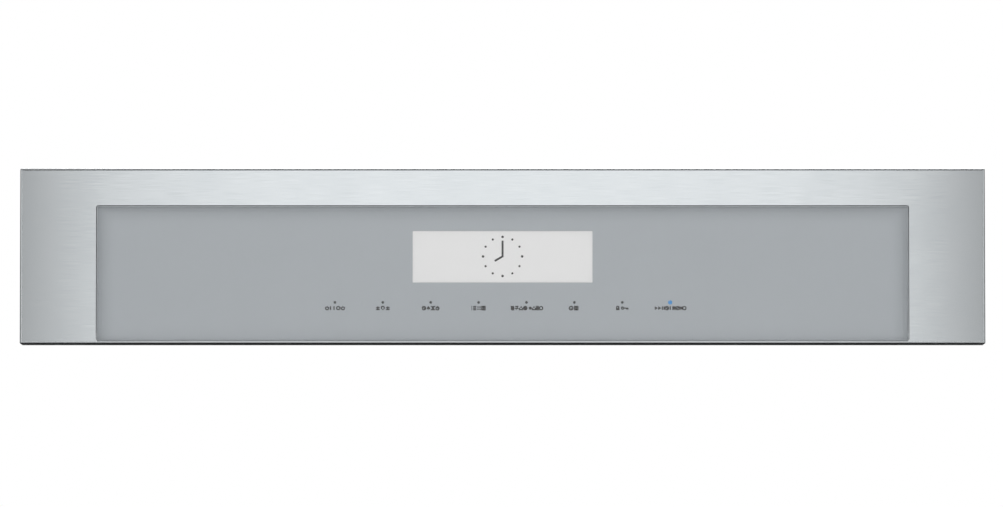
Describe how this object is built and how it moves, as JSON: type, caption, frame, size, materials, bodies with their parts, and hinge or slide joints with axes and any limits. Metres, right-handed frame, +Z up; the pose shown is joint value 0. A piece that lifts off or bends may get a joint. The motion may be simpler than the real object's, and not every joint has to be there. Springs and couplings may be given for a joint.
{
  "type": "speed oven control panel",
  "caption": "Wide brushed stainless control panel with a flush grey glass touch surface, clock display, touch keys and an air outlet slot underneath.",
  "frame": {"origin": "midway between the two fixing screw holes, on the underside of the fascia", "axes": "+X along the width, +Y from the face towards the oven behind, +Z up"},
  "size_m": [0.7556, 0.041, 0.1375],
  "materials": {
    "stainless": "fine horizontal brushed grain",
    "galvanised": "dull galvanised sheet",
    "zinc": "zinc plated",
    "tinned_steel": "bright tinned",
    "brass": "machined",
    "black_aluminium": "black anodised",
    "laminated_core": "varnished laminations",
    "black_plastic": "fine moulded texture",
    "chip_black": "epoxy",
    "white_plastic": "satin",
    "cream_nylon": "natural nylon",
    "brown_latch": "satin",
    "board_green": "solder resist",
    "relay_blue": "moulded",
    "yellow_case": "moulded box",
    "amber_film": "polyimide film",
    "sleeve_dark": "shrink sleeve",
    "copper_wire": "enamelled wire",
    "grey_film": "printed grey",
    "grey_tape": "foam tape",
    "ribbon_white": "flat film cable",
    "smoked_pipe": "smoked clear",
    "blue_pipe": "lit blue",
    "foam_rubber": "closed-cell foam",
    "conductive_foam": "carbon-loaded foam",
    "cable_black": "sheath",
    "earth_green": "green and yellow insulation",
    "panel_glass": "clear toughened",
    "fuse_glass": "clear tube",
    "display_glass": "lit display"
  },
  "bodies": {
    "root": {"fascia": "stainless", "weld_studs": "zinc", "left_bracket": "galvanised", "right_bracket": "galvanised", "stud_nuts": "zinc", "top_rail": "galvanised", "air_baffle": "galvanised", "rail_screws": "zinc", "outlet_grille": "black_plastic", "top_seal": "foam_rubber", "glass_panel": "panel_glass", "decor_film": "grey_film", "bonding_tape": "grey_tape", "glass_carrier": "black_plastic", "display_gasket": "foam_rubber", "lcd_panel": "display_glass", "backlight": "white_plastic", "display_frame": "tinned_steel", "display_clamp": "galvanised", "clamp_screws": "zinc", "board_pillars": "brass", "display_board": "board_green", "display_chips": "chip_black", "pillar_screws": "zinc", "touch_board": "board_green", "touch_pads": "conductive_foam", "light_pipes": "smoked_pipe", "start_light_pipe": "blue_pipe", "indicator_leds": "white_plastic", "touch_chips": "chip_black", "touch_screws": "zinc", "supply_tray": "black_plastic", "supply_board": "board_green", "transformer": "laminated_core", "relays": "relay_blue", "capacitors": "sleeve_dark", "line_choke": "copper_wire", "fuse": "fuse_glass", "heatsink": "black_aluminium", "power_inlet": "cream_nylon", "control_tray": "black_plastic", "control_board": "board_green", "processor": "chip_black", "control_chips": "chip_black", "buzzer": "chip_black", "bus_inlet": "cream_nylon", "ribbon_sockets": "cream_nylon", "tray_screws": "zinc", "board_screws": "zinc", "display_ribbon": "ribbon_white", "touch_ribbon": "ribbon_white", "link_headers": "cream_nylon", "link_cable": "cable_black", "earth_terminals": "tinned_steel", "earth_lead": "earth_green", "earth_screw": "brass", "film_capacitor": "yellow_case", "display_tail": "amber_film"},
    "display_latch": {"display_latch": "brown_latch"},
    "touch_latch": {"touch_latch": "brown_latch"}
  },
  "joints": [
    {"name": "display_latch_flip", "type": "hinge", "parent": "root", "child": "display_latch", "pos_m": [0.1784, 0.0068, 0.0685], "axis": [0, 0, -1], "range_deg": [0, 90]},
    {"name": "touch_latch_flip", "type": "hinge", "parent": "root", "child": "touch_latch", "pos_m": [0.1784, 0.0068, 0.0307], "axis": [0, 0, -1], "range_deg": [0, 90]}
  ]
}
